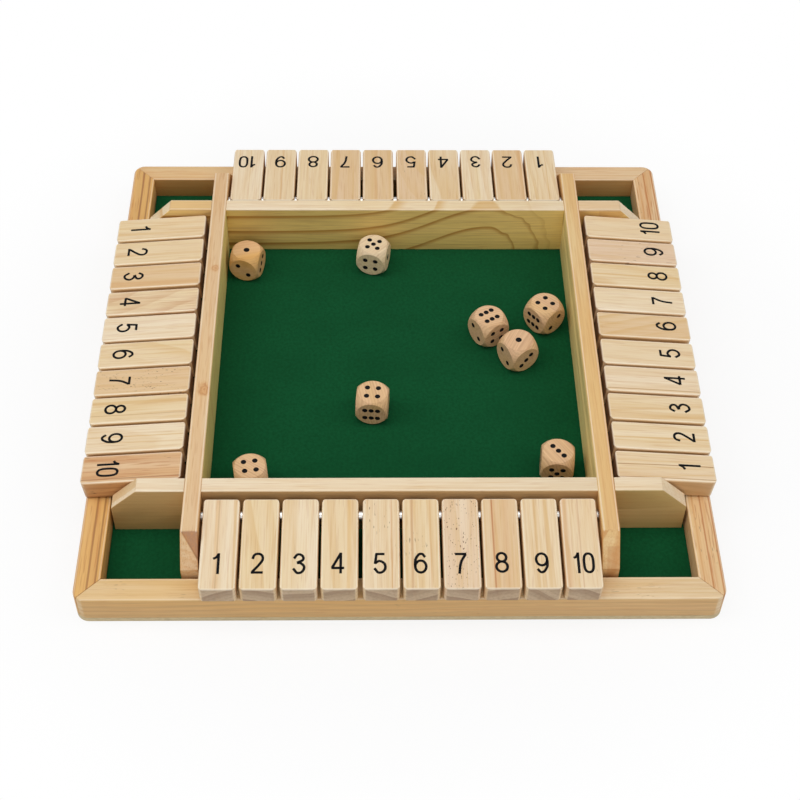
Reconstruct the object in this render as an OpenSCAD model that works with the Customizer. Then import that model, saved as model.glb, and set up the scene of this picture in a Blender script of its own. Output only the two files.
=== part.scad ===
// Shut the box for four players: a square pine board with a felt dice tray in
// the middle and a row of ten numbered tiles hinged along each of its sides.
// The origin is at the middle of the underside, with player one's side at -Y.

/* [Tiles] */
// Tiles in each row
tile_count = 10; // [4:1:12]
// Length of a tile, from its hinged end to its free end
tile_l = 47.8; // [40:0.1:60]
// Width of a tile
tile_w = 17; // [14:0.5:24]
// Thickness of a tile
tile_t = 11; // [9:0.1:11.8]
// Space between neighbouring tiles
tile_gap = 1.25; // [0.6:0.05:3]
// Extra space at the one loose place in each row
loose_gap = 0.6; // [0:0.1:1.5]
// Distance from a tile's hinged end to its rod
pivot_inset = 6; // [5:0.1:6.2]
// Slope of a tile that lies on its rail, in degrees
tile_slope = 5; // [3:0.1:7]
// Rounding of a tile's long edges
tile_edge_r = 1; // [0.5:0.1:2]
// Rounding of a tile's four corners, seen from above
tile_corner_r = 2.7; // [1:0.1:3]
// Rounding of a tile's end edges
tile_end_r = 0.8; // [0.4:0.1:1.5]

/* [Hinge rods] */
// Diameter of a hinge rod
rod_d = 5; // [3:0.1:6]
// Depth of the blind hole that holds each rod end
rod_seat = 5.5; // [3:0.1:6.5]
// Space around the rod in a tile
rod_play = 0.08; // [0.04:0.01:0.1]
// Space around the rod in a wall
rod_fit = 0.05; // [0.02:0.01:0.1]
// Space beyond each end of a rod
rod_end_gap = 0.2; // [0.1:0.1:0.5]

/* [Walls] */
// Thickness of the four walls around the tray
wall_t = 8; // [7:0.1:12]
// Height of the walls above the felt
wall_h = 29.5; // [27:0.5:36]
// Distance from a wall's outer face to the rod beside it
wall_to_rod = 8.1; // [8:0.1:10]
// Slant cut off each top end of a wall
wall_slant = 13; // [8:0.5:18]
// Space between a wall's end and the rail
wall_end_gap = 1.4; // [0.5:0.1:3]
// Rounding of a wall's top edges
wall_edge_r = 0.6; // [0.2:0.1:1.5]
// Space around each half lap where two walls cross
lap_gap = 0.05; // [0.02:0.01:0.2]

/* [Rails] */
// Width of the outer rails, seen from above
rail_w = 12; // [9:0.5:16]
// Height of the outer rails
rail_h = 14; // [11:0.5:18]
// Rounding of the board's four upright corners
rail_corner_r = 6; // [4:0.5:8]
// Rounding of the rails' outer top edge
rail_edge_r = 1; // [0.5:0.1:3.5]
// Reach of a tile's free end past the rail
tile_overhang = 1.2; // [0.5:0.1:3]

/* [Base] */
// Thickness of the base panel
base_t = 3; // [2:0.5:6]
// Thickness of the felt
felt_t = 2; // [1:0.1:3]
// Space around the felt inside the rails
felt_gap = 0.2; // [0.1:0.1:1]
// Space under a die or a tile that lies at rest
rest_gap = 0.15; // [0.05:0.05:0.3]

/* [Dice] */
// Width of a die between two flat faces
die_size = 16; // [12:0.5:18]
// Diameter of the ball that rounds a die's edges and corners
die_ball_d = 21.8; // [17:0.1:26]
// Diameter of a pip
pip_d = 2.4; // [1.6:0.1:3]
// Depth of a pip
pip_depth = 0.5; // [0.2:0.1:1]
// Distance of a corner pip from the middle of its face, along each side
pip_spread = 2.75; // [2:0.05:3.5]
// Distance between the pips in a row of three on the six
six_step = 3.2; // [2.6:0.05:3.5]

/* [Hidden] */
$fn = 48;

// Angle at which two rails meet on the board's corner
mitre_angle = 45;

// The dice as thrown: place, as a share of the way from the middle of the tray
// to its wall, turn about the upright, and the numbers on their top, front and
// right faces.
dice_thrown = [
    [-0.995, 0.92, -14.5, 1, 2, 3],
    [-0.148, 0.976, -13, 5, 4, 1],
    [0.596, 0.311, -58, 6, 2, 4],
    [0.966, 0.424, -50, 4, 6, 2],
    [0.773, 0.098, -59.5, 1, 2, 3],
    [-0.156, -0.34, -5, 4, 6, 2],
    [-0.882, -0.917, 9, 4, 1, 5],
    [0.955, -0.808, -5, 3, 5, 1],
];

// Heights above the table
felt_top = base_t + felt_t;
rail_top = base_t + rail_h;
wall_mid = felt_top + wall_h / 2;

// Distances from the middle of the board, out along one side
row_l = tile_count * tile_w + (tile_count + 1) * tile_gap + loose_gap;
tray_r = row_l / 2;
wall_r = tray_r + wall_t;
rod_r = wall_r + wall_to_rod;
rail_r = rod_r + (tile_l - pivot_inset) * cos(tile_slope) - tile_overhang;
rail_in_r = rail_r - rail_w;
wall_end_r = rail_in_r - wall_end_gap;
dice_r = tray_r - die_ball_d / 2;

// A tile lies on its rail where the rounding of the outer edge begins, and
// that sets the height of its rod.
rest_r = rail_r - rail_edge_r;
rest_reach = (rest_r - rod_r + tile_t / 2 * sin(tile_slope)) / cos(tile_slope);
rod_z = rail_top + rest_gap + rest_reach * sin(tile_slope) + tile_t / 2 * cos(tile_slope);

// The four sides: name, direction, and the tile after which the row is loose
sides = [["front", -90, 4], ["right", 0, 5], ["rear", 90, 5], ["left", 180, 3]];

function tile_name(side, n) = str("tile_", side[0], "_", n);
function tile_y(side, n) = -tray_r + n * tile_gap + (n - 0.5) * tile_w + (n > side[2] ? loose_gap : 0);

// Rectangle from the origin with its four corners rounded
module round_rect(w, h, r) {
    translate([r, 0]) square([w - 2 * r, h]);
    translate([0, r]) square([w, h - 2 * r]);
    for (x = [r, w - r], y = [r, h - r])
        translate([x, y]) circle(r);
}

// Turns a shape that is drawn for the +X side to another side of the board
module on_side(side) {
    rotate([0, 0, side[1]]) children();
}

module base_panel() {
    color("tan")
        translate([-rail_r, -rail_r, 0])
            linear_extrude(base_t)
                round_rect(2 * rail_r, 2 * rail_r, rail_corner_r);
}

module felt_sheet() {
    half = rail_in_r - felt_gap;
    color("darkgreen")
        translate([-half, -half, base_t])
            cube([2 * half, 2 * half, felt_t]);
}

// Upright section of a rail, its outer face at x = w
module rail_section(w) {
    square([w, rail_h - rail_edge_r]);
    square([w - rail_edge_r, rail_h]);
    translate([w - rail_edge_r, rail_h - rail_edge_r]) circle(rail_edge_r);
}

// Half of a rail, from its middle to a mitred end on the board's corner
module half_rail() {
    corner = rail_r - rail_corner_r;
    intersection() {
        translate([rail_in_r, corner, 0])
            rotate([90, 0, 0])
                linear_extrude(corner) rail_section(rail_w);
        linear_extrude(rail_h)
            polygon([[0, 0], [rail_r, 0], [rail_r, rail_r]]);
    }
    translate([corner, corner, 0])
        rotate_extrude(angle = mitre_angle) rail_section(rail_corner_r);
}

module rail(side) {
    color("burlywood")
        on_side(side)
            translate([0, 0, base_t]) {
                half_rail();
                mirror([0, 1, 0]) half_rail();
            }
}

// Side view of a wall: a bar with both top ends slanted off
module wall_outline() {
    polygon([
        [-wall_end_r, 0],
        [wall_end_r, 0],
        [wall_end_r, wall_h - wall_slant],
        [wall_end_r - wall_slant, wall_h],
        [wall_slant - wall_end_r, wall_h],
        [-wall_end_r, wall_h - wall_slant],
    ]);
}

// End view of a wall: square at the foot, its top edges eased
module wall_section() {
    square([wall_t, wall_h - wall_edge_r]);
    translate([wall_edge_r, 0]) square([wall_t - 2 * wall_edge_r, wall_h]);
    for (x = [wall_edge_r, wall_t - wall_edge_r])
        translate([x, wall_h - wall_edge_r]) circle(wall_edge_r);
}

// One wall. Where two walls cross they are halved into each other: the left
// and right walls lie over the front and rear ones.
module wall(side, lies_over) {
    notch = wall_t + 2 * lap_gap;
    color("wheat")
        on_side(side)
            difference() {
                translate([tray_r, 0, felt_top])
                    intersection() {
                        rotate([90, 0, 90]) linear_extrude(wall_t) wall_outline();
                        translate([0, wall_end_r, 0])
                            rotate([90, 0, 0]) linear_extrude(2 * wall_end_r) wall_section();
                    }
                for (way = [-1, 1]) {
                    translate([
                        tray_r - lap_gap,
                        way * (tray_r + wall_t / 2) - notch / 2,
                        lies_over ? felt_top - lap_gap : wall_mid - lap_gap / 2
                    ])
                        cube([notch, notch, wall_h / 2 + 1.5 * lap_gap]);
                    translate([tray_r, way * rod_r, rod_z])
                        rotate([0, 90, 0])
                            translate([0, 0, -lap_gap])
                                cylinder(r = rod_d / 2 + rod_fit, h = rod_seat + lap_gap);
                }
            }
}

// The four steel rods that the tiles turn on
module hinge_rods() {
    length = 2 * (tray_r + rod_seat - rod_end_gap);
    color("silver")
        for (side = sides)
            on_side(side)
                translate([rod_r, 0, rod_z])
                    rotate([90, 0, 0])
                        cylinder(d = rod_d, h = length, center = true);
}

// A tile with its rod at the origin and its free end along +X
module tile_blank() {
    difference() {
        translate([-pivot_inset, 0, 0])
            intersection() {
                translate([0, -tile_w / 2, -tile_t / 2])
                    linear_extrude(tile_t) round_rect(tile_l, tile_w, tile_corner_r);
                translate([0, -tile_w / 2, -tile_t / 2])
                    rotate([90, 0, 90]) linear_extrude(tile_l) round_rect(tile_w, tile_t, tile_edge_r);
                translate([0, tile_w / 2, -tile_t / 2])
                    rotate([90, 0, 0]) linear_extrude(tile_w) round_rect(tile_l, tile_t, tile_end_r);
            }
        rotate([90, 0, 0])
            cylinder(r = rod_d / 2 + rod_play, h = tile_w + 1, center = true);
    }
}

module tile(side, n) {
    color("moccasin")
        on_side(side)
            translate([rod_r, tile_y(side, n), rod_z])
                rotate([0, tile_slope, 0]) tile_blank();
}

// Places of the pips on one face. The slant is the way that the two and the
// three lean, and a wide six has its rows of three across the face.
function pip_places(number, slant, wide) = concat(
    number % 2 == 1 ? [[0, 0]] : [],
    number > 1 && number < 6 ? [for (way = [-1, 1]) [way, way * slant] * pip_spread] : [],
    number == 4 || number == 5 ? [for (way = [-1, 1]) [way, -way * slant] * pip_spread] : [],
    number < 6 ? [] : [for (step = [-1:1], way = [-1, 1])
        wide ? [step * six_step, way * pip_spread] : [way * pip_spread, step * six_step]]
);

// A wooden die: a cube whose edges and corners are turned off to a ball
module die(thrown) {
    top = thrown[3];
    front = thrown[4];
    right = thrown[5];
    // each face: how it is turned, its number, its slant, and if its six is wide
    faces = [
        [[0, 0, 0], top, -1, false],
        [[90, 0, 0], front, -1, true],
        [[90, 0, 90], right, 1, true],
        [[90, 0, 180], 7 - front, -1, true],
        [[90, 0, 270], 7 - right, 1, false],
        [[180, 0, 0], 7 - top, -1, false],
    ];
    color("navajowhite")
        translate([thrown[0] * dice_r, thrown[1] * dice_r, felt_top + rest_gap + die_size / 2])
            rotate([0, 0, thrown[2]])
                difference() {
                    intersection() {
                        cube(die_size, center = true);
                        sphere(d = die_ball_d);
                    }
                    for (face = faces, place = pip_places(face[1], face[2], face[3]))
                        rotate(face[0])
                            translate([place[0], place[1], die_size / 2 - pip_depth])
                                cylinder(d = pip_d, h = 2 * pip_depth);
                }
}

base_panel();
felt_sheet();
hinge_rods();
for (side = sides) {
    rail(side);
    wall(side, side[0] == "left" || side[0] == "right");
    for (n = [1:tile_count])
        tile(side, n);
}
for (n = [1:len(dice_thrown)])
    die(dice_thrown[n - 1]);
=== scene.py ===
from math import pi, radians
from random import Random

import bmesh
import bpy
from mathutils import Matrix, Vector, noise


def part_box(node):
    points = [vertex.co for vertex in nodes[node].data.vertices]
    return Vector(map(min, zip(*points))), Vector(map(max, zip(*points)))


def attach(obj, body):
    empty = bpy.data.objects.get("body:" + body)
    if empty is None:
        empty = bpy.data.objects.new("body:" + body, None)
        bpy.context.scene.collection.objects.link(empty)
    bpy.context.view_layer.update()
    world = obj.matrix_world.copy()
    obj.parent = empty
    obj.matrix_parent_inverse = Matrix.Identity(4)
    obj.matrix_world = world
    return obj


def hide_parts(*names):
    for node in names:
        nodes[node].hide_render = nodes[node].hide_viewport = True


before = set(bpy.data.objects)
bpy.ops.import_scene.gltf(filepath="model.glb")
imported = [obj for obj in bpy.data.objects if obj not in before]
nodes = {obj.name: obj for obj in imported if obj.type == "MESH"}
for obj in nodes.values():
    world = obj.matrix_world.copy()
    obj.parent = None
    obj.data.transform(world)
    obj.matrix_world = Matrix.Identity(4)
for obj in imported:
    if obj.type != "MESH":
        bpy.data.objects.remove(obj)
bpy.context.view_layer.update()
scene = bpy.context.scene
scene.view_settings.view_transform = "Standard"
mm = 0.001
weld = 0.001 * mm  # points closer than this are one
outward = {
    "front": Vector((0, -1, 0)),
    "right": Vector((1, 0, 0)),
    "rear": Vector((0, 1, 0)),
    "left": Vector((-1, 0, 0)),
}
up = Vector((0, 0, 1))
print("frame loaded,", len(nodes), "nodes")


# the camera stands where the photograph was taken from
photoView = {
    "place": (-0.01274, -0.5418, 0.61079),
    "down": 49.197,  # degrees below level
    "aside": 1.549,  # degrees towards +X
    "roll": 1.092,
    "lens": 70.32,
}


def addCamera(view):
    lens = bpy.data.cameras.new("photoCamera")
    lens.lens = view["lens"]
    lens.sensor_width = 36
    lens.clip_start = 0.01
    camera = bpy.data.objects.new("photoCamera", lens)
    scene.collection.objects.link(camera)
    turn = Matrix.Rotation(-radians(view["aside"]), 4, "Z")
    turn = turn @ Matrix.Rotation(radians(90 - view["down"]), 4, "X")
    turn = turn @ Matrix.Rotation(radians(view["roll"]), 4, "Z")
    camera.matrix_world = Matrix.Translation(view["place"]) @ turn
    scene.camera = camera


addCamera(photoView)
print("camera placed")


class Wire:
    # One output socket of a shader tree. Sums with numbers or other wires add Math nodes.

    def __init__(self, tree, socket):
        self.tree = tree
        self.socket = socket

    def node(self, kind, inputs, output=0, **settings):
        made = self.tree.nodes.new("ShaderNode" + kind)
        for name, value in settings.items():
            setattr(made, name, value)
        for key, value in inputs.items():
            if isinstance(value, Wire):
                self.tree.links.new(value.socket, made.inputs[key])
            else:
                made.inputs[key].default_value = value
        return Wire(self.tree, made.outputs[output])

    def math(self, operation, first, second=0.0):
        return self.node("Math", {0: first, 1: second}, operation=operation)

    def __add__(self, other):
        return self.math("ADD", self, other)

    def __radd__(self, other):
        return self.math("ADD", other, self)

    def __sub__(self, other):
        return self.math("SUBTRACT", self, other)

    def __rsub__(self, other):
        return self.math("SUBTRACT", other, self)

    def __mul__(self, other):
        return self.math("MULTIPLY", self, other)

    def __rmul__(self, other):
        return self.math("MULTIPLY", other, self)

    def __truediv__(self, other):
        return self.math("DIVIDE", self, other)

    def __pow__(self, other):
        return self.math("POWER", self, other)

    def __abs__(self):
        return self.math("ABSOLUTE", self)


def tone(red, green, blue):
    # colour as a screen shows it, 0 to 255, made linear
    steps = [value / 255 for value in (red, green, blue)]
    return [s / 12.92 if s <= 0.04045 else ((s + 0.055) / 1.055) ** 2.4 for s in steps] + [1]


def smooth(value, low, high):
    return value.node("MapRange", {"Value": value, "From Min": low, "From Max": high},
                      interpolation_type="SMOOTHSTEP")


def blend(factor, first, second):
    return factor.node("Mix", {0: factor, 6: first, 7: second}, output=2, data_type="RGBA")


def speckle(place, stretch, detail=2.0, seed=0.0):
    # noise from 0 to 1, drawn out along the axes by 1 / stretch, in metres
    shifted = place.node("VectorMath", {0: place, 1: stretch}, operation="MULTIPLY")
    return shifted.node("TexNoise", {"Vector": shifted, "W": seed, "Scale": 1.0, "Detail": detail},
                        noise_dimensions="4D")


def axesOf(place):
    apart = place.node("SeparateXYZ", {"Vector": place})
    return [Wire(apart.tree, output) for output in apart.socket.node.outputs]


def newMaterial(name):
    # a new material's Object coordinates, and a function that fills its main shader
    material = bpy.data.materials.new(name)
    material.use_nodes = True
    tree = material.node_tree
    shader = tree.nodes["Principled BSDF"]
    place = Wire(tree, tree.nodes.new("ShaderNodeTexCoord").outputs["Object"])

    def finish(**sockets):
        for key, value in sockets.items():
            socket = shader.inputs[key.replace("_", " ")]
            if isinstance(value, Wire):
                tree.links.new(value.socket, socket)
            else:
                socket.default_value = value
        return material

    return place, finish


def meshFrom(bm, name):
    mesh = bpy.data.meshes.new(name)
    bm.to_mesh(mesh)
    bm.free()
    return mesh


def mergedCopy(node):
    # a node's loose triangles joined into whole flat faces
    bm = bmesh.new()
    bm.from_mesh(nodes[node].data)
    bmesh.ops.remove_doubles(bm, verts=bm.verts, dist=weld)
    bmesh.ops.dissolve_limit(bm, verts=bm.verts, edges=bm.edges, angle_limit=radians(0.5))
    return bm


def localFrame(node, along, top=up):
    # axes of a straight piece, x along its grain and z up, with half its sizes
    across = top.cross(along).normalized()
    axes = [along.normalized(), across, top]
    spans = [[axis.dot(v.co) for v in nodes[node].data.vertices] for axis in axes]
    middle = sum((axis * (min(s) + max(s)) / 2 for axis, s in zip(axes, spans)), Vector())
    turn = Matrix(axes).transposed().to_4x4()
    return Matrix.Translation(middle) @ turn, [(max(s) - min(s)) / 2 for s in spans]


woodTones = {
    "pale": tone(236, 217, 187),
    "cream": tone(231, 208, 171),
    "yellow": tone(230, 206, 157),
    "tan": tone(222, 190, 148),
    "pink": tone(226, 198, 168),
    "golden": tone(212, 171, 108),
    "honey": tone(223, 184, 123),
    "orange": tone(203, 143, 78),
    "rust": tone(182, 116, 62),
    "brown": tone(146, 94, 48),
    "bark": tone(104, 66, 38),
    "edge": tone(206, 158, 100),
    "shade": tone(214, 164, 96),
    "amber": tone(222, 172, 98),
    "peach": tone(226, 186, 144),
    "olive": tone(250, 214, 120),
    "umber": tone(182, 136, 72),
    "straw": tone(255, 236, 158),
    "sage": tone(240, 228, 140),
    "moss": tone(176, 156, 84),
    "syrup": tone(178, 114, 20),
    "heart": tone(148, 92, 60),
    "light": tone(250, 238, 214),
    "endGrain": tone(198, 172, 140),
    "endLine": tone(152, 120, 90),
    "endDark": tone(100, 68, 42),
}


# Each noise of the wood: how fine it is along and across the grain, per metre, its detail,
# and what is added to the piece's own seed.
grainNoise = {
    "wander": ((9, 26, 26), 1.0, 0),
    "fibre": ((34, 1500, 1500), 3.0, 0),
    "cloud": ((11, 95, 95), 2.0, 3),
    "streak": ((16, 520, 520), 2.0, 5),
    "flecking": ((45, 80, 80), 1.0, 7),
    "thread": ((70, 1500, 1500), 1.0, 11),
    "pores": ((900, 900, 900), 2.0, 13),
    "ripple": ((95, 95, 95), 1.0, 15),
    "swirl": ((240, 240, 240), 2.0, 17),
}
dashes = {"across": 2200, "seed": 9}  # how fine they are along the grain is in each wood
# where a mark begins and is whole, in millimetres inside an edge of the piece
edgeMarks = {
    "top": (0.7, 0.25),
    "side": (0.4, 0.1),
    "end": (0.6, 0.15),
    "rimOnTop": (1.2, 0.7),
    "rimStop": (0.5, 0.3),
    "rimAtEnd": (0.9, 0.5),
    "rimHeight": (0.9, 0.4),
}


def nearEdge(distance, edge, mark):
    # 0 inside the piece, rising to 1 at its edge
    begins, whole = edgeMarks[mark]
    return smooth(distance, edge - begins * mm, edge - whole * mm)


class Grain:
    # What the layers of one piece's wood share: the place in the piece, with x along the
    # grain and z up, its noises, its faces and its growth rings, which run round a pith
    # beside the piece.

    def __init__(self, place, local, half, wood, seed):
        self.wood = wood
        self.half = half
        self.seed = seed
        self.boardX, self.boardY, _ = axesOf(place)
        self.place = place.node("Mapping", {"Vector": place, "Location": local.translation,
                                            "Rotation": local.to_euler()}, vector_type="TEXTURE")
        self.x, self.y, self.z = axesOf(self.place)
        self.wander = self.noise("wander") - 0.5
        self.fibre = self.noise("fibre")
        self.streak = self.noise("streak")
        self.cloud = self.noise("cloud")
        self.findFaces()
        self.growRings()

    def noise(self, kind):
        stretch, detail, seed = grainNoise[kind]
        return speckle(self.place, stretch, detail, self.seed + seed)

    def findFaces(self):
        below = 1 - nearEdge(self.z, self.half[2], "top")
        reach = self.wood["innerReach"]
        self.faces = nearEdge(abs(self.y), self.half[1], "side") * below
        self.inside = nearEdge(self.y, self.half[1], "side") * below
        self.inside = self.inside * (1 - smooth(abs(self.x), (reach - 1) * mm, reach * mm))

    def growRings(self):
        wood = self.wood
        leanY, leanZ = wood["lean"]
        dy = self.y - wood["pith"][0] * mm - leanY * self.x
        dz = self.z - wood["pith"][1] * mm - leanZ * self.x
        radius = (dy * dy + dz * dz) ** 0.5 + self.wander * (wood["wander"] * mm)
        self.rings = radius / (wood["ring"] * mm) + self.cloud * 0.6
        step = self.rings.math("FRACT", self.rings)
        whole = self.rings.math("FLOOR", self.rings)
        each = self.rings.node("TexWhiteNoise", {"W": whole}, noise_dimensions="1D")
        self.line = smooth(step, 0.3, 0.9) * (1 - smooth(step, 0.92, 1.0))  # darkens slowly, ends at once
        self.late = self.line * (0.35 + each * 0.65) * wood["contrast"]  # and no two rings are alike
        self.lateTone = blend(self.faces * 0.4, woodTones[wood["late"]], woodTones["brown"])


def earlyWood(grain):
    wood = grain.wood
    colour = blend(smooth(grain.cloud, 0.35, 0.75) * wood["clouds"], woodTones[wood["base"]],
                   woodTones[wood["second"]])
    if wood["fade"]:
        fadeTone, start, stop, strength = wood["fade"]
        colour = blend(smooth(grain.x, start * mm, stop * mm) * strength, colour, woodTones[fadeTone])
    # painted shade on the side faces, and painted light and shade on the face towards the middle
    for mask, (faceTone, share) in ((grain.faces, wood["sides"]), (grain.inside, wood["innerShading"])):
        colour = blend(mask * share, colour, woodTones[faceTone])
    return colour


def addRings(grain, colour):
    return blend(grain.late, colour, grain.lateTone)


def addBands(grain, colour):
    # streaks along the grain: place across, half width, tone, strength
    wood = grain.wood
    for across, width, bandTone, strength in wood["bands"]:
        swayed = grain.y + grain.wander * (wood["sway"] * mm) + grain.z * wood["slant"]
        off = abs(swayed - across * mm) / (width * mm)
        mask = (1 - smooth(off, 0.2, 1.0)) * (0.5 + grain.streak) * strength
        colour = blend(mask, colour, woodTones[bandTone])
    return colour


def addPatches(grain, colour):
    # a patch is what lies beyond all its planes, each a direction and a distance
    for planes, patchTone, strength in grain.wood["patches"]:
        mask = strength
        for px, py, pz, offset in planes:
            beyond = grain.x * px + grain.y * py + grain.z * pz + grain.wander * mm
            mask = smooth(beyond, offset * mm, (offset + 0.6) * mm) * mask
        colour = blend(mask, colour, woodTones[patchTone])
    return colour


def cathedral(grain, arch):
    # Distance from the heart of a flat-sawn board, as it shows on the board's face: arches
    # that run out far on one side of the eye and close round it on the other.
    beside = (grain.x - arch["eye"] * mm) * arch["way"]
    closing = beside.math("MAXIMUM", beside, 0.0) * arch["close"]
    running = beside.math("MINIMUM", beside, 0.0) / (arch["reach"] * mm)
    above = grain.z - arch["foot"] * mm
    drop = 1 - beside.math("EXPONENT", running * running * -1.0)
    return (above * above + closing * closing) ** 0.5 + drop * (arch["drop"] * mm) + grain.y * arch["skew"]


def addArch(grain, colour):
    arch = grain.wood["arch"]
    if not arch:
        return colour
    turned = smooth((grain.x - arch["eye"] * mm) * arch["way"], 0.0, arch["turn"] * mm)
    ripple = (grain.noise("ripple") - 0.5) * turned * (arch["ripple"] * mm)
    heart = cathedral(grain, arch) + grain.wander * (arch["wander"] * mm) + ripple
    # on the side faces the lines take a darker, deeper tone: painted shade
    lineTone = blend(grain.faces, woodTones["golden"], woodTones["syrup"])
    for lineAt, closed in arch["lines"]:
        off = (heart - lineAt * mm) / mm
        mask = smooth(off, -3.2, 0.0) * (1 - smooth(off, 0.0, 0.7)) * (0.5 + grain.streak * 0.6)
        colour = blend(mask * (1 - turned * (1 - closed)), colour, lineTone)
    return colour


def addKnots(grain, colour):
    # place along, place across, size, strength
    for along, across, size, strength in grain.wood["knots"]:
        swirl = grain.noise("swirl") - 0.5
        dx = (grain.x - along * mm) / 1.4  # longer than wide
        dy = grain.y - across * mm
        off = (dx * dx + dy * dy) ** 0.5 / (size * mm) + (grain.streak - 0.5) * 1.2 + swirl * 2.2
        colour = blend((1 - smooth(off, 0.4, 1.6)) * strength * 0.75, colour, woodTones["orange"])
        ring = smooth(off, 0.3, 0.6) * (1 - smooth(off, 0.6, 1.0)) + (1 - smooth(off, 0.0, 0.2))
        colour = blend(ring * strength * 0.6, colour, woodTones["rust"])
    return colour


def addFibres(grain, colour):
    wood = grain.wood
    colour = blend(smooth(grain.streak, 0.5, 0.68) * wood["streaks"], colour, grain.lateTone)
    colour = blend(smooth(grain.fibre, 0.45, 0.75) * wood["fibres"], colour, grain.lateTone)
    thread = smooth(grain.noise("thread"), 0.56, 0.68)
    return blend(thread * wood["threads"], colour, woodTones["rust"])


def fleckMask(grain):
    # short dashes, where a coarser noise lets them show
    wood = grain.wood
    stretch = (wood["dash"], dashes["across"], dashes["across"])
    dash = smooth(speckle(grain.place, stretch, 0.0, grain.seed + dashes["seed"]), 0.71, 0.78)
    shown = smooth(grain.noise("flecking"), 0.62 - 0.3 * wood["flecks"], 0.7 - 0.22 * wood["flecks"])
    return dash * shown


def addEndGrain(grain, colour):
    ends = nearEdge(abs(grain.x), grain.half[0], "end") * grain.wood["ends"]
    wedge = smooth(grain.rings.math("FRACT", grain.rings * 0.3 + grain.seed), 0.1, 0.9)
    pores = smooth(grain.noise("pores"), 0.4, 0.7)
    endTone = blend(wedge * 0.75 + grain.line * 0.15, woodTones["endGrain"], woodTones["endLine"])
    hingeShade = 1 - smooth(grain.x, -0.01, 0.01)  # painted shade: the end at the hinge stands in the dark gap by the wall
    endTone = blend(pores * 0.2 + hingeShade * 0.75, endTone, woodTones["endDark"])
    return blend(ends, colour, endTone)


def addRim(grain, colour):
    # painted highlight: a light line along each eased edge of the top, where the round catches the light
    wood, half = grain.wood, grain.half
    edgeHighlight = nearEdge(abs(grain.y), half[1], "rimOnTop")
    edgeHighlight = edgeHighlight * (1 - nearEdge(abs(grain.y), half[1], "rimStop"))
    edgeHighlight = edgeHighlight.math("MAXIMUM", edgeHighlight, nearEdge(abs(grain.x), half[0], "rimAtEnd") * wood["ends"])
    edgeHighlight = edgeHighlight * nearEdge(grain.z, half[2], "rimHeight") * wood["edgeHighlight"]
    return blend(edgeHighlight, colour, woodTones["light"])


def addMitre(grain, colour):
    if not grain.wood["mitred"]:
        return colour
    joint = 1 - smooth(abs(abs(grain.boardX) - abs(grain.boardY)), 0.08 * mm, 0.3 * mm)
    gap = 1 - smooth(grain.boardY, -0.02, 0.02) * 0.6  # the glue line is open at the front corners
    return blend(joint * gap * grain.wood["mitred"], colour, woodTones["brown"])


def woodMaterial(name, wood, local, half, seed):
    place, finish = newMaterial(name)
    grain = Grain(place, local, half, wood, seed)
    colour = earlyWood(grain)
    for layer in (addRings, addBands, addPatches, addArch, addKnots, addFibres):
        colour = layer(grain, colour)
    flecks = fleckMask(grain)
    colour = blend(flecks * min(1, wood["flecks"] * 2), colour, woodTones["bark"])
    for layer in (addEndGrain, addRim, addMitre):
        colour = layer(grain, colour)
    height = grain.fibre * 0.5 - grain.late * 0.5 - flecks
    normal = grain.place.node("Bump", {"Height": height, "Strength": 0.35, "Distance": 0.00012})
    return finish(Base_Color=colour, Roughness=0.5 + grain.cloud * 0.12 - grain.late * 0.1,
                  Normal=normal)


# Lengths are millimetres along the piece's own axes, and shares go from 0 to 1.
plainPine = {
    "base": "cream",
    "second": "yellow",
    "clouds": 0.6,  # how far the second tone covers the base
    "late": "golden",  # tone of the rings, the streaks and the fibres
    "pith": (30, -70),  # across and up, from the middle of the piece
    "lean": (0.02, 0.03),  # how the pith runs across and up along the piece
    "ring": 2.6,
    "wander": 5.0,  # how far the rings stray
    "contrast": 0.5,
    "streaks": 0.26,
    "fibres": 0.44,
    "threads": 0.18,
    "flecks": 0.0,
    "dash": 300,  # how fine the flecks are along the grain, per metre
    "bands": [],
    "sway": 2.0,  # how far the bands stray
    "slant": 0.2,  # how far a band moves across for each millimetre up
    "patches": [],
    "knots": [],
    "arch": None,
    "fade": None,  # tone, where along the piece it starts and is whole, strength
    # tones for the side faces and for the face towards the middle: painted shade, and on faces towards the
    # tray painted green light from the felt too
    "sides": ("shade", 0.0),
    "innerShading": ("olive", 0.0),  # for the face towards the middle of the board
    "innerReach": 200,  # and how far from the piece's middle that tone goes
    "ends": 0.0,
    # strength of the painted highlight along the eased edges of the top
    "edgeHighlight": 0.0,
    "mitred": 0.0,
}

# the darker edge tone on a tile's side faces is painted shade
tileWood = dict(plainPine, ends=0.9, edgeHighlight=0.55, ring=2.8, contrast=0.5, sides=("edge", 0.75))
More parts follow.
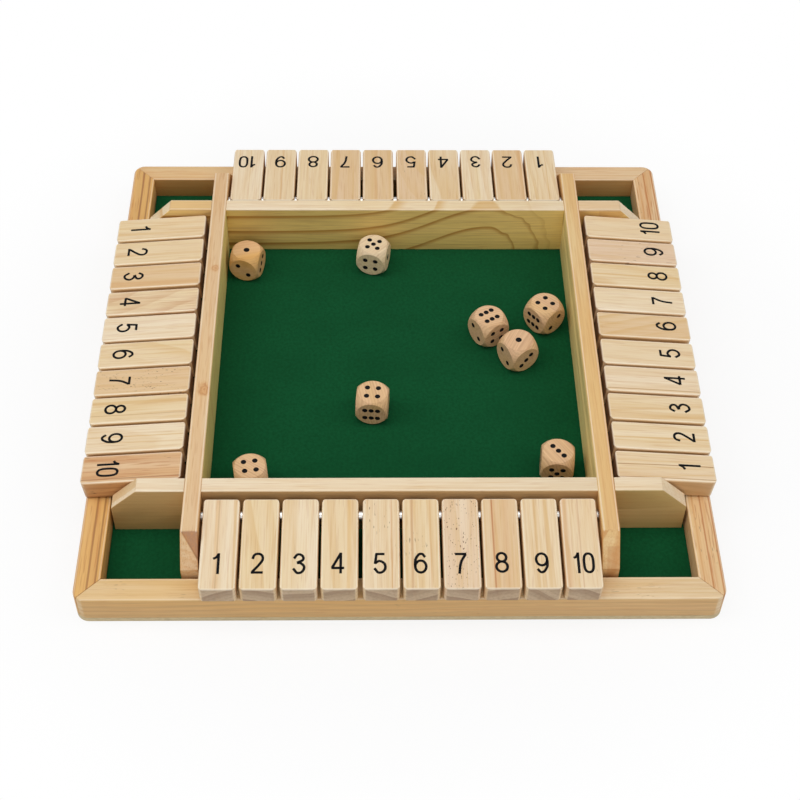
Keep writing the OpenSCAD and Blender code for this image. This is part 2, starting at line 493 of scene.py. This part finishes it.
# each tile is cut from another place in the tree: its pith beside and below it, and its lean
tileCut = {"beside": (-60, 60), "below": (-90, -35), "lean": (-0.05, 0.05), "seed": (0, 50)}
tileLooks = {
    "front": [
        dict(base="pale", bands=[(-0.3, 1.6, "shade", 0.5), (0.2, 0.5, "brown", 0.3)], flecks=0.2),
        dict(base="cream", bands=[(-7.2, 1.3, "golden", 0.5)]),
        dict(base="pale", bands=[(-1.5, 2.2, "golden", 0.25)]),
        dict(base="cream", bands=[(5.4, 1.5, "honey", 0.6)]),
        dict(base="cream", second="pale", bands=[(5.9, 0.5, "orange", 0.6)], flecks=0.45),
        dict(base="cream", bands=[(-3.2, 0.9, "rust", 0.5), (5.2, 0.5, "orange", 0.3)], flecks=0.3),
        dict(base="pink", second="pale", flecks=0.95, dash=850),
        dict(base="tan", second="cream", contrast=0.3,
             bands=[(-1.6, 2.2, "orange", 0.3), (-2.4, 0.6, "rust", 0.85), (3.5, 2.2, "orange", 0.2)]),
        dict(base="cream", second="pale", bands=[(-1, 1.2, "golden", 0.35), (4.2, 1.5, "golden", 0.35)]),
        dict(base="cream", second="pink", sway=5, lean=(0.1, 0.02), contrast=0.4, flecks=0.3,
             bands=[(-6.2, 2.4, "orange", 0.4), (0.5, 0.5, "rust", 0.35)]),
    ],
    "right": [
        dict(base="cream", second="pink", lean=(0.2, 0.1), sway=6,
             bands=[(1.5, 0.4, "brown", 0.8), (-6.6, 0.35, "brown", 0.6)]),
        dict(base="pale", bands=[(0, 0.7, "golden", 0.6)]),
        dict(base="cream", bands=[(-4, 3.0, "golden", 0.4)]),
        dict(base="pale", second="pink", bands=[(-5.5, 0.4, "brown", 0.5)]),
        dict(base="cream", second="pale", contrast=0.3),
        dict(base="tan", second="cream", ring=4.5, contrast=0.6, lean=(0.1, 0.2)),
        dict(base="pale", contrast=0.12),
        dict(base="cream", bands=[(1.0, 0.8, "golden", 0.5)]),
        dict(base="pink", second="pink", contrast=0.25, flecks=0.4),
        dict(base="cream", second="tan", contrast=0.25),
    ],
    "rear": [
        dict(base="cream", bands=[(-2, 0.5, "golden", 0.5)]),
        dict(base="tan", second="cream", bands=[(-6, 3, "orange", 0.4)]),
        dict(base="pale", bands=[(1, 1.4, "yellow", 0.5)]),
        dict(base="cream", second="pale"),
        dict(base="tan", second="pink", flecks=0.3, ring=3.6, contrast=0.5, lean=(0.12, 0.1)),
        dict(base="tan", second="cream", bands=[(2, 1.2, "orange", 0.3)]),
        dict(base="tan", second="pink", ring=3.8, contrast=0.7, lean=(0.15, 0.1), wander=8),
        dict(base="cream", second="yellow", contrast=0.2),
        dict(base="cream", second="tan", bands=[(0, 0.6, "orange", 0.4)], contrast=0.35),
        dict(base="pale", second="cream", bands=[(0, 0.5, "golden", 0.4)], contrast=0.2),
    ],
    "left": [
        dict(base="cream", bands=[(5, 1.4, "golden", 0.4)]),
        dict(base="cream", second="yellow", bands=[(3, 1.6, "golden", 0.35)]),
        dict(base="tan", second="cream", clouds=0.3, bands=[(6, 3, "orange", 0.35)], contrast=0.3),
        dict(base="cream", late="rust", ring=3.8, contrast=0.45, lean=(0.16, 0.12), wander=9),
        dict(base="pale", second="pale", contrast=0.1),
        dict(base="cream", ring=3.4, contrast=0.45, lean=(0.12, 0.1), wander=9),
        dict(base="tan", second="cream", clouds=0.5, contrast=0.35, flecks=0.8, dash=800),
        dict(base="cream", bands=[(-3, 1.8, "golden", 0.55), (5, 0.3, "brown", 0.4)]),
        dict(base="pale", second="yellow", bands=[(0, 0.6, "golden", 0.5), (4, 0.5, "golden", 0.4)]),
        dict(base="tan", second="peach", late="rust", contrast=0.3, threads=0.5, flecks=0.45,
             bands=[(4.5, 4, "orange", 0.4), (-5, 3, "orange", 0.35), (7.2, 0.5, "brown", 0.6)],
             sides=("orange", 0.75)),
    ],
}


def tileFrame(side, number):
    # the largest face that looks up gives the slope at which the tile lies
    name = f"tile_{side}_{number}"
    faces = [f for f in nodes[name].data.polygons if f.normal.z > 0.9]
    top = max(faces, key=lambda f: f.area).normal.normalized()
    along = outward[side] - top * outward[side].dot(top)
    return (name, *localFrame(name, along, top))


def dress(name, material):
    nodes[name].data.materials.clear()
    nodes[name].data.materials.append(material)


def finishTiles():
    for side in outward:
        for number, look in enumerate(tileLooks[side], 1):
            name, local, half = tileFrame(side, number)
            pick = Random(name)
            pith = (pick.uniform(*tileCut["beside"]), pick.uniform(*tileCut["below"]))
            lean = (pick.uniform(*tileCut["lean"]), pick.uniform(*tileCut["lean"]))
            wood = dict(tileWood, pith=pith, lean=lean)
            wood.update(look)
            seed = pick.uniform(*tileCut["seed"])
            dress(name, woodMaterial(name + "Pine", wood, local, half, seed))


finishTiles()
print("tiles finished")


numeral = {
    "height": 10.7 * mm,
    "stroke": 1.22 * mm,
    "ink": 0.08 * mm,  # how far the ink stands off the wood
    "sink": 0.02 * mm,
    # from a digit's foot to the tile's free end, and how far the row is printed aside
    "fromEnd": {"front": 8.0 * mm, "right": 7.0 * mm, "rear": 6.8 * mm, "left": 7.0 * mm},
    "aside": {"front": -0.4 * mm, "right": 0.6 * mm, "rear": 0.2 * mm, "left": -0.5 * mm},
    "jitter": 0.3 * mm,  # no two are printed at quite the same place
    "steps": 10,  # between two points of a stroke
    "tenSqueeze": 0.84,  # the two digits of a ten are narrower
    "tenStep": 0.245,  # and stand this far to each side, in digit heights
}

# Centre lines of the strokes, in units of a digit's height. A closed stroke is a loop.
sixStrokes = [
    (True, [(0, 0.62), (0.235, 0.335), (0, 0.05), (-0.225, 0.335)]),
    (False, [(0.2, 0.79), (0.03, 0.95), (-0.17, 0.77), (-0.232, 0.45), (-0.218, 0.3)]),
]
digitStrokes = {
    "0": [(True, [(0, 0.95), (0.235, 0.5), (0, 0.05), (-0.235, 0.5)])],
    "1": [
        (False, [(0.07, 1), (0.07, 0)]),
        (False, [(-0.15, 0.73), (-0.02, 0.81), (0.075, 0.97)]),
    ],
    "2": [
        (False, [(-0.21, 0.7), (-0.13, 0.9), (0.01, 0.95), (0.16, 0.89), (0.215, 0.7),
                 (0.08, 0.44), (-0.2, 0.09)]),
        (False, [(-0.26, 0.05), (0.24, 0.05)]),
    ],
    "3": [
        (False, [(-0.205, 0.75), (-0.01, 0.95), (0.195, 0.75), (-0.07, 0.54)]),
        (False, [(-0.07, 0.54), (0.1, 0.51), (0.232, 0.29), (0, 0.05), (-0.23, 0.27)]),
    ],
    "4": [
        (False, [(0.11, 1), (0.11, 0)]),
        (False, [(0.11, 0.97), (-0.25, 0.27)]),
        (False, [(-0.28, 0.26), (0.26, 0.26)]),
    ],
    "5": [
        (False, [(-0.18, 0.95), (0.2, 0.95)]),
        (False, [(-0.14, 0.97), (-0.2, 0.47)]),
        (False, [(-0.2, 0.5), (0, 0.61), (0.235, 0.33), (0, 0.05), (-0.235, 0.26)]),
    ],
    "6": sixStrokes,
    "7": [
        (False, [(-0.24, 0.95), (0.24, 0.95)]),
        (False, [(0.21, 0.94), (0.01, 0.56), (-0.08, 0)]),
    ],
    "8": [
        (True, [(0, 0.95), (0.195, 0.745), (0, 0.54), (-0.195, 0.745)]),
        (True, [(0, 0.54), (0.235, 0.295), (0, 0.05), (-0.235, 0.295)]),
    ],
    "9": [(closed, [(-x, 1 - y) for x, y in points]) for closed, points in sixStrokes],
}


def numeralMesh(text):
    # each stroke is a ribbon on edge, thickened to the width of the pen
    curve = bpy.data.curves.new("numeral" + text, "CURVE")
    curve.dimensions = "3D"
    curve.resolution_u = numeral["steps"]
    curve.extrude = (numeral["ink"] + numeral["sink"]) / 2
    squeeze = numeral["tenSqueeze"] if len(text) > 1 else 1
    for place, digit in enumerate(text):
        shift = (2 * place - 1) * numeral["tenStep"] if len(text) > 1 else 0
        for closed, points in digitStrokes[digit]:
            spline = curve.splines.new("BEZIER")
            spline.bezier_points.add(len(points) - 1)
            spline.use_cyclic_u = closed
            for knot, (x, y) in zip(spline.bezier_points, points):
                knot.co = ((x * squeeze + shift) * numeral["height"], (y - 0.5) * numeral["height"], 0)
                knot.handle_left_type = "AUTO"
                knot.handle_right_type = "AUTO"
    drawn = bpy.data.objects.new("drawn", curve)
    scene.collection.objects.link(drawn)
    pen = drawn.modifiers.new("pen", "SOLIDIFY")
    pen.thickness = numeral["stroke"]
    pen.offset = 0
    pen.use_even_offset = True
    seen = drawn.evaluated_get(bpy.context.evaluated_depsgraph_get())
    mesh = bpy.data.meshes.new_from_object(seen)
    bpy.data.objects.remove(drawn)
    bm = bmesh.new()
    bm.from_mesh(mesh)
    bmesh.ops.remove_doubles(bm, verts=bm.verts, dist=weld)
    bmesh.ops.recalc_face_normals(bm, faces=bm.faces)
    bm.to_mesh(mesh)
    bm.free()
    return mesh


blackInk = {
    "fresh": tone(6, 6, 8),
    "worn": tone(24, 21, 20),
    "patches": (900, 900, 900),  # how fine they are, per metre
}


def inkMaterial(name):
    place, finish = newMaterial(name)
    patchy = speckle(place, blackInk["patches"], 3.0)
    colour = blend(smooth(patchy, 0.5, 0.8) * 0.4, blackInk["fresh"], blackInk["worn"])
    normal = place.node("Bump", {"Height": patchy, "Strength": 0.2, "Distance": 0.00002})
    return finish(Base_Color=colour, Roughness=0.7 + patchy * 0.2, Normal=normal,
                  Specular_IOR_Level=0.15)


def addPiece(name, mesh, material, body):
    mesh.materials.clear()
    mesh.materials.append(material)
    piece = bpy.data.objects.new(name, mesh)
    scene.collection.objects.link(piece)
    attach(piece, body)
    return piece


def printNumerals():
    ink = inkMaterial("printedInk")
    pick = Random(7)
    for number in range(1, 11):
        drawn = numeralMesh(str(number))
        for side in outward:
            tile, local, half = tileFrame(side, number)
            along = half[0] - numeral["fromEnd"][side] - numeral["height"] / 2
            along += pick.uniform(-1, 1) * numeral["jitter"]
            across = numeral["aside"][side] + pick.uniform(-1, 1) * numeral["jitter"]
            lift = half[2] + (numeral["ink"] - numeral["sink"]) / 2
            facing = Matrix.Rotation(radians(90), 4, "Z")  # a digit's foot is at the free end
            mesh = drawn.copy()
            mesh.transform(local @ Matrix.Translation((along, across, lift)) @ facing)
            addPiece(f"numeral_{side}_{number}", mesh, ink, tile)


printNumerals()
print("numerals printed")


diceWood = dict(plainPine, base="peach", second="honey", late="heart", ring=1.3, contrast=0.28,
                wander=4, fibres=0.25, clouds=0.7, streaks=0.2, threads=0.15)
diceLooks = {"die_1": dict(base="amber", second="peach", late="rust", contrast=0.2),
             "die_2": dict(base="cream", second="yellow", contrast=0.15)}
diceCut = {"pith": (5, 14), "seed": (0, 50)}  # where in the tree each die is cut
pip = {
    "radius": 1.19 * mm,
    "depth": 0.5 * mm,
    "fromMiddle": 7.5 * mm,  # from a die's centre to the floor of a recess
    "brim": 1.34 * mm,
    "loneBrim": 1.62 * mm,  # a face with one pip has a larger brim of paint
    "proud": 0.02 * mm,
    "clear": 0.02 * mm,  # under the paint
    "overFace": 0.005 * mm,
    "steps": 20,
}


def pipPlaces(node):
    # the round floors of the recesses in a die, each with the way it faces
    bm = mergedCopy(node)
    floor = pi * pip["radius"] ** 2
    middle = sum(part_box(node), Vector()) / 2
    found = []
    for f in bm.faces:
        spot = f.calc_center_median()
        deep = f.normal.dot(spot - middle)
        isFloor = 0.85 * floor < f.calc_area() < 1.15 * floor
        if isFloor and abs(deep - pip["fromMiddle"]) < 0.05 * mm:
            found.append((spot, f.normal.copy()))
    bm.free()
    return found


def pipMesh(brim):
    # paint that fills a recess to a shallow bowl, with a thin brim on the face around it
    r, deep, under = pip["radius"], pip["depth"], pip["clear"]
    face, top = deep + pip["overFace"], deep + pip["proud"]
    profile = [(0, under), (r, under), (r, face), (brim, face),
               (brim, top), (0.9 * r, top), (0.7 * r, 0.75 * deep), (0, 0.6 * deep)]
    bm = bmesh.new()
    points = [bm.verts.new((x, 0, z)) for x, z in profile]
    line = [bm.edges.new(pair) for pair in zip(points, points[1:])]
    bmesh.ops.spin(bm, geom=points + line, cent=(0, 0, 0), axis=(0, 0, 1), angle=2 * pi,
                   steps=pip["steps"], use_merge=True)
    bmesh.ops.remove_doubles(bm, verts=bm.verts, dist=weld)
    bmesh.ops.recalc_face_normals(bm, faces=bm.faces)
    return meshFrom(bm, "pip")


def paintPips(name, cup, loneCup):
    bm = bmesh.new()
    places = pipPlaces(name)
    for spot, facing in places:
        lone = sum(facing.dot(other) > 0.9 for _, other in places) == 1
        part = (loneCup if lone else cup).copy()
        part.transform(Matrix.Translation(spot) @ facing.to_track_quat("Z", "Y").to_matrix().to_4x4())
        bm.from_mesh(part)
        bpy.data.meshes.remove(part)
    mesh = meshFrom(bm, name + "_pips")
    mesh.shade_smooth()
    return mesh


def finishDice():
    ink = inkMaterial("pipPaint")
    cup, loneCup = pipMesh(pip["brim"]), pipMesh(pip["loneBrim"])
    for name in [n for n in nodes if n.startswith("die_")]:
        pick = Random(name)
        low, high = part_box(name)
        turn = Matrix.Rotation(pick.uniform(0, pi), 4, "Z") @ Matrix.Rotation(pick.uniform(0, pi), 4, "X")
        wood = dict(diceWood, pith=(pick.uniform(*diceCut["pith"]), pick.uniform(*diceCut["pith"])))
        wood.update(diceLooks.get(name, {}))
        local = Matrix.Translation((low + high) / 2) @ turn
        seed = pick.uniform(*diceCut["seed"])
        dress(name, woodMaterial(name + "Wood", wood, local, (high - low) / 2, seed))
        mesh = paintPips(name, cup, loneCup)
        print(name, len(mesh.vertices) // len(cup.vertices), "pips")
        addPiece(name + "_pips", mesh, ink, name)


finishDice()
print("dice finished")


# how far the sharp edges of the boards are eased
easing = {
    "rail": 0.3 * mm,
    "wall": 0.3 * mm,
    "base": 0.5 * mm,
    "segments": 2,
    "sharp": radians(35),  # an edge that turns less than this stays as it is
}
# the pith lies beside and below each board, another step aside on each side
boardCut = {"beside": 40, "step": -20, "below": -90, "lean": (0.01, 0.012), "seed": 11.0}
railPine = dict(plainPine, mitred=0.4, edgeHighlight=0.3, threads=0.2)
railLooks = {
    "front": dict(base="honey", second="cream", ring=3.2, contrast=0.5, wander=9, slant=1.0, flecks=0.2,
                  fade=("pale", -40, 130, 0.5), sides=("amber", 0.7),
                  bands=[(-10.5, 2.5, "golden", 0.45), (-7.2, 0.4, "orange", 0.35),
                         (9.4, 0.5, "golden", 0.4), (4.5, 0.8, "golden", 0.3)]),
    "right": dict(base="tan", second="honey", late="orange", contrast=0.45, threads=0.6, flecks=0.3,
                  bands=[(-3.6, 0.7, "rust", 1.0), (0.9, 0.6, "rust", 0.9), (4.4, 0.6, "orange", 0.6)]),
    # the umber on the rear rail's inner face is painted shade
    "rear": dict(base="tan", second="cream", late="orange", contrast=0.35, innerShading=("umber", 0.85),
                 fade=("golden", 10, 120, 0.5)),
    "left": dict(base="amber", second="honey", late="orange", contrast=0.4, threads=0.5, mitred=0.7,
                 bands=[(1.4, 0.8, "brown", 0.8), (5.0, 0.75, "brown", 0.7), (-4, 0.8, "rust", 0.5)]),
}
# the shade tone on a wall's side faces is painted shade; the tones towards the tray are painted green light
# from the felt and shade
wallPine = dict(plainPine, edgeHighlight=0.4, sides=("shade", 0.8), innerReach=93)  # as far as the crossings
# each line of the arch has its distance from the heart, and how far it still shows on the far side
rearArch = {"eye": -50.6, "way": -1, "close": 1.1, "reach": 42, "drop": 26, "foot": -14.75,
            "skew": -0.155, "turn": 14, "wander": 3, "ripple": 13.0,
            "lines": ((16.6, 0.8), (30.6, 0.7), (39.1, 0.25), (50, 0.0))}
wallLooks = {
    "front": dict(base="pale", second="cream", contrast=0.25, streaks=0.15,
                  patches=[([(-1, 0, 0, 122.3), (0, 1, 0, -1.5)], "golden", 0.6),
                           # the moss patches on the faces at the ends are painted shade
                           ([(1, 0, 0, 100), (0, -1, 0, 3.6)], "moss", 0.6),
                           ([(-1, 0, 0, 100), (0, -1, 0, 3.6)], "moss", 0.35)]),
    "right": dict(base="honey", second="yellow", late="orange", contrast=0.3, innerShading=("straw", 0.85),
                  bands=[(-1.2, 2.4, "orange", 0.5)],
                  patches=[([(-1, 0, 0, 122.3), (0.8, 1, 0, -97.3)], "orange", 0.7),
                           ([(-1, 0, 0, 127.5), (0, -1, 0, -2.2)], "rust", 0.4)]),
    "rear": dict(base="pale", second="yellow", contrast=0.12, streaks=0.2, sides=("olive", 0.9),
                 arch=rearArch,
                 # the shade and honey patches on the faces at the ends, beyond the crossings, are painted
                 # shade
                 patches=[([(-1, 0, 0, 100), (0, 1, 0, 3.6)], "shade", 0.65),
                          ([(-1, 0, 0, 111), (0, 1, 0, 3.6), (0.5, 0, 1, -52)], "orange", 0.5),
                          ([(1, 0, 0, 100), (0, 1, 0, 3.6)], "honey", 0.8),
                          ([(1, 0, 0, 100), (0, 0, 1, 13.6)], "honey", 0.95),
                          ([(-1, 0, 0, 100), (0, 0, 1, 13.6)], "tan", 0.9)]),
    "left": dict(base="tan", second="honey", late="orange", clouds=0.35, contrast=0.3, innerShading=("sage", 0.85),
                 threads=0.35, knots=[(37.5, 1, 2.6, 0.8), (-47, 1.6, 1.9, 0.6)],
                 patches=[([(1, 0, 0, 122.3), (-0.81, 1, 0, -103.1)], "heart", 0.75),
                          ([(1, 0, 0, 122.3), (-0.81, 1, 0, -103.5), (0.81, -1, 0, 102.0)], "brown", 0.7)]),
}


def easedPiece(node, width, material, slot):
    # a merged copy of the solid, with a narrow round along every sharp edge
    mesh = meshFrom(mergedCopy(node), node + "_wood")
    mesh.shade_smooth()
    piece = addPiece(node + "_wood", mesh, material, "board")
    ease = piece.modifiers.new("ease", "BEVEL")
    ease.width = width
    ease.segments = easing["segments"]
    ease.limit_method = "ANGLE"
    ease.angle_limit = easing["sharp"]
    ease.harden_normals = True
    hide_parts(node)


fibreboard = {
    "ground": tone(214, 196, 156),
    "chips": tone(186, 166, 126),
    "clouds": tone(200, 186, 150),
}


def fibreboardMaterial():
    place, finish = newMaterial("baseFibreboard")
    chips = speckle(place, (420, 420, 900), 3.0)
    cloud = speckle(place, (30, 30, 200), 2.0, 4.0)
    colour = blend(smooth(chips, 0.35, 0.7) * 0.5, fibreboard["ground"], fibreboard["chips"])
    colour = blend(smooth(cloud, 0.4, 0.7) * 0.4, colour, fibreboard["clouds"])
    normal = place.node("Bump", {"Height": chips, "Strength": 0.3, "Distance": 0.0001})
    return finish(Base_Color=colour, Roughness=0.7 + chips * 0.1, Normal=normal)


def finishBoard():
    for number, side in enumerate(outward):
        along = up.cross(outward[side])
        for kind, plain, looks in (("rail", railPine, railLooks), ("wall", wallPine, wallLooks)):
            name = f"{kind}_{side}"
            local, half = localFrame(name, along)
            pith = (boardCut["beside"] + boardCut["step"] * number, boardCut["below"])
            wood = dict(plain, pith=pith, lean=boardCut["lean"])
            wood.update(looks[side])
            material = woodMaterial(name + "Pine", wood, local, half, boardCut["seed"] + number)
            easedPiece(name, easing[kind], material, kind + "_pine")
    easedPiece("base_panel", easing["base"], fibreboardMaterial(), "base_board")


finishBoard()
print("board finished")


rods = {
    "bright": tone(208, 208, 204),
    "scratched": tone(178, 178, 174),
    "scratches": (700, 700, 2600),  # how fine they are, per metre
}


def finishRods():
    place, finish = newMaterial("drawnSteel")
    scratches = speckle(place, rods["scratches"], 3.0)
    colour = blend(smooth(scratches, 0.4, 0.7), rods["bright"], rods["scratched"])
    normal = place.node("Bump", {"Height": scratches, "Strength": 0.15, "Distance": 0.00002})
    steel = finish(Base_Color=colour, Metallic=1.0, Roughness=0.22 + scratches * 0.15, Normal=normal)
    dress("hinge_rods", steel)


finishRods()
print("rods finished")


felt = {
    "ground": tone(12, 70, 38),
    "tufts": tone(15, 80, 45),
    "fuzz": tone(42, 108, 70),
    "hollows": tone(10, 64, 34),
    "cells": 136,  # along each side
    "nap": 0.12 * mm,  # from its lowest hollow to its highest tuft
    "lump": 35.0,  # hollows per metre, roughly
    "tuft": 9,  # how many times finer the tufts are
}


def feltMaterial():
    place, finish = newMaterial("greenFelt")
    fuzz = speckle(place, (2600, 2600, 2600), 3.0)
    tufts = speckle(place, (620, 620, 620), 4.0, 2.0)
    drift = speckle(place, (28, 40, 40), 2.0, 5.0)
    colour = blend(smooth(tufts, 0.3, 0.7), felt["ground"], felt["tufts"])
    colour = blend(smooth(fuzz, 0.55, 0.8) * 0.3, colour, felt["fuzz"])
    colour = blend(smooth(drift, 0.35, 0.7) * 0.3, colour, felt["hollows"])
    normal = place.node("Bump", {"Height": fuzz * 0.7 + tufts * 0.5, "Strength": 0.5, "Distance": 0.00015})
    return finish(Base_Color=colour, Roughness=0.92 + fuzz * 0.06, Normal=normal, Sheen_Weight=0.03,
                  Sheen_Roughness=0.5, Specular_IOR_Level=0.05)


def layFelt():
    low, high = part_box("felt_sheet")
    size = (high - low) / 2
    bm = bmesh.new()
    bmesh.ops.create_grid(bm, x_segments=felt["cells"], y_segments=felt["cells"], size=size.x)
    for v in bm.verts:
        spot = v.co * felt["lump"]
        lump = 0.5 + 0.3 * noise.noise(spot) + 0.2 * noise.noise(spot * felt["tuft"])
        v.co.z = high.z - felt["nap"] * min(1, max(0, lump))
    skirt = bmesh.ops.extrude_face_region(bm, geom=bm.faces[:])
    for v in [g for g in skirt["geom"] if isinstance(g, bmesh.types.BMVert)]:
        v.co.z = low.z
    bmesh.ops.recalc_face_normals(bm, faces=bm.faces)
    mesh = meshFrom(bm, "felt_lining")
    piece = addPiece("felt_lining", mesh, feltMaterial(), "board")
    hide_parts("felt_sheet")


layFelt()
print("felt laid")


studio = {
    "sky": 0.3,  # what the plain surroundings give
    # each lamp's power in watts, the side of its square and its place
    "lamps": {
        "above": (10.0, 1.2, (-0.15, -0.1, 1.75)),
        "left": (6.6, 0.9, (-1.1, -0.1, 1.3)),
        "right": (5.4, 0.9, (1.1, -0.1, 1.3)),
        "front": (5.8, 1.2, (0.1, -1.7, 1.3)),
    },
    "floor": 3.0,  # half its side
    "floorGlow": 0.82,  # how much of the floor is plain white to the camera near the board
    "whiteFrom": 0.17,  # from here outward it turns white,
    "whiteTo": 0.28,  # and further out than this it is all white
    "floorTone": (0.9, 0.9, 0.9, 1),
}


def seenDirectly(wire):
    paths = wire.node("LightPath", {})
    camera, glossy, through = [Wire(paths.tree, paths.socket.node.outputs[name])
                               for name in ("Is Camera Ray", "Is Glossy Ray", "Is Transmission Ray")]
    return camera.math("MINIMUM", camera + glossy + through, 1.0)


def lightSky():
    # plain surroundings, white where the camera or a shiny piece sees them
    world = bpy.data.worlds.new("studio")
    world.use_nodes = True
    scene.world = world
    tree = world.node_tree
    backdrop = tree.nodes["Background"]
    backdrop.inputs["Color"].default_value = (1, 1, 1, 1)
    start = Wire(tree, backdrop.outputs[0])
    seen = seenDirectly(start)
    tree.links.new((studio["sky"] + seen * (1 - studio["sky"])).socket, backdrop.inputs["Strength"])


def hangLamps():
    for name, (power, size, spot) in studio["lamps"].items():
        light = bpy.data.lights.new(name + "Lamp", "AREA")
        light.shape = "SQUARE"
        light.size = size
        light.energy = power
        holder = bpy.data.objects.new(name + "Lamp", light)
        holder.location = spot
        holder.rotation_euler = (-holder.location).to_track_quat("-Z", "Y").to_euler()
        scene.collection.objects.link(holder)


def floorMaterial():
    # matt and shaded, but white to the camera away from the board
    material = bpy.data.materials.new("whiteFloor")
    material.use_nodes = True
    tree = material.node_tree
    tree.nodes.clear()
    place = Wire(tree, tree.nodes.new("ShaderNodeTexCoord").outputs["Object"])
    far = place.node("VectorMath", {0: place}, output=1, operation="LENGTH")
    white = smooth(far, studio["whiteFrom"], studio["whiteTo"])
    glow = seenDirectly(place) * (studio["floorGlow"] + white * (1 - studio["floorGlow"]))
    matt = place.node("BsdfDiffuse", {"Color": studio["floorTone"]})
    bright = place.node("Emission", {"Color": (1, 1, 1, 1), "Strength": 1.0})
    both = place.node("MixShader", {0: glow, 1: matt, 2: bright})
    tree.links.new(both.socket, tree.nodes.new("ShaderNodeOutputMaterial").inputs["Surface"])
    return material


def layFloor():
    bm = bmesh.new()
    bmesh.ops.create_grid(bm, x_segments=1, y_segments=1, size=studio["floor"])
    mesh = meshFrom(bm, "floor")
    mesh.materials.append(floorMaterial())
    floor = bpy.data.objects.new("floor", mesh)
    scene.collection.objects.link(floor)


lightSky()
hangLamps()
layFloor()
print("studio built")
